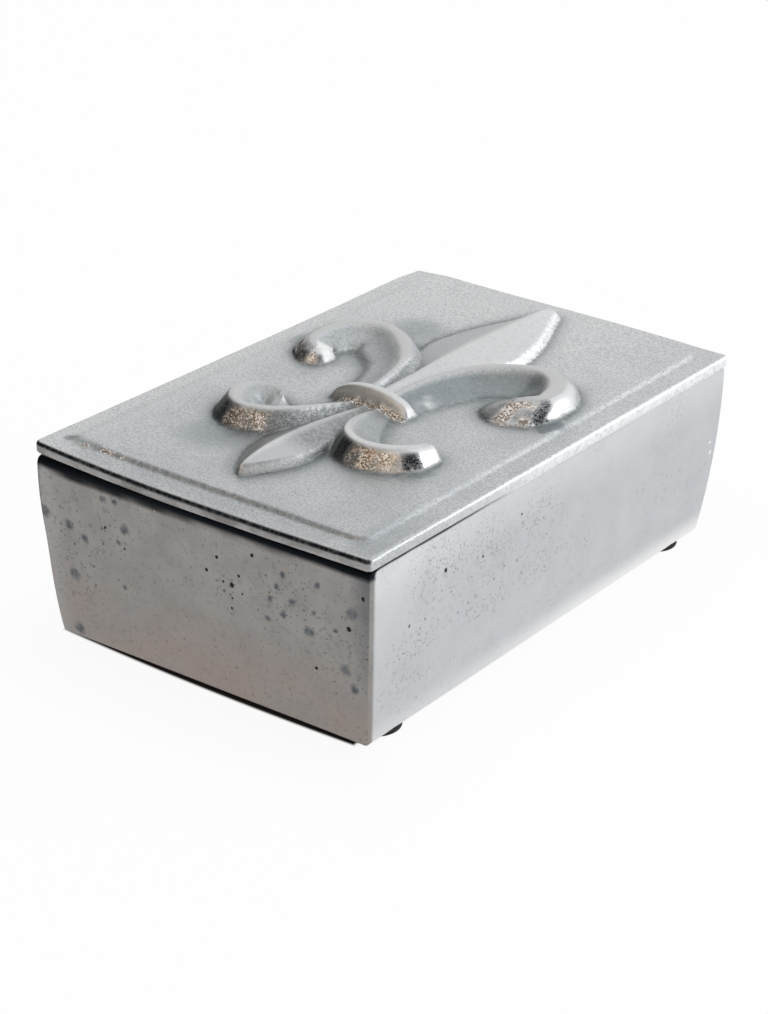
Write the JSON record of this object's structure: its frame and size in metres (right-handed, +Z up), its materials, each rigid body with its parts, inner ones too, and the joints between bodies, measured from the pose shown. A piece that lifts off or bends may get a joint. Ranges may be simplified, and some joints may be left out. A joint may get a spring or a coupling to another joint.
{
  "type": "keepsake box",
  "caption": "Rectangular cast-metal keepsake box with bowed sides, round pads underneath and a lift-off lid that carries a lily ornament in relief.",
  "frame": {"origin": "on the floor under the middle of the box, level with the undersides of its pads", "axes": "+Z up, +Y along the lid towards the lily's tip, +X across the lid to the right seen from the lily's foot"},
  "size_m": [0.118, 0.18, 0.0673],
  "materials": {
    "tray_aluminium": "sand cast, tumbled and lightly polished",
    "lid_aluminium": "sand cast satin with polished high spots",
    "pad_rubber": "matt black"
  },
  "bodies": {
    "box": {"box_body": "tray_aluminium", "foot_front_left": "pad_rubber", "foot_front_right": "pad_rubber", "foot_rear_left": "pad_rubber", "foot_rear_right": "pad_rubber"},
    "lid": {"lid": "lid_aluminium"}
  },
  "joints": [
    {"name": "lid_lift", "type": "slide", "parent": "box", "child": "lid", "axis": [0, 0, 1], "range_m": [0, 0.1]}
  ]
}
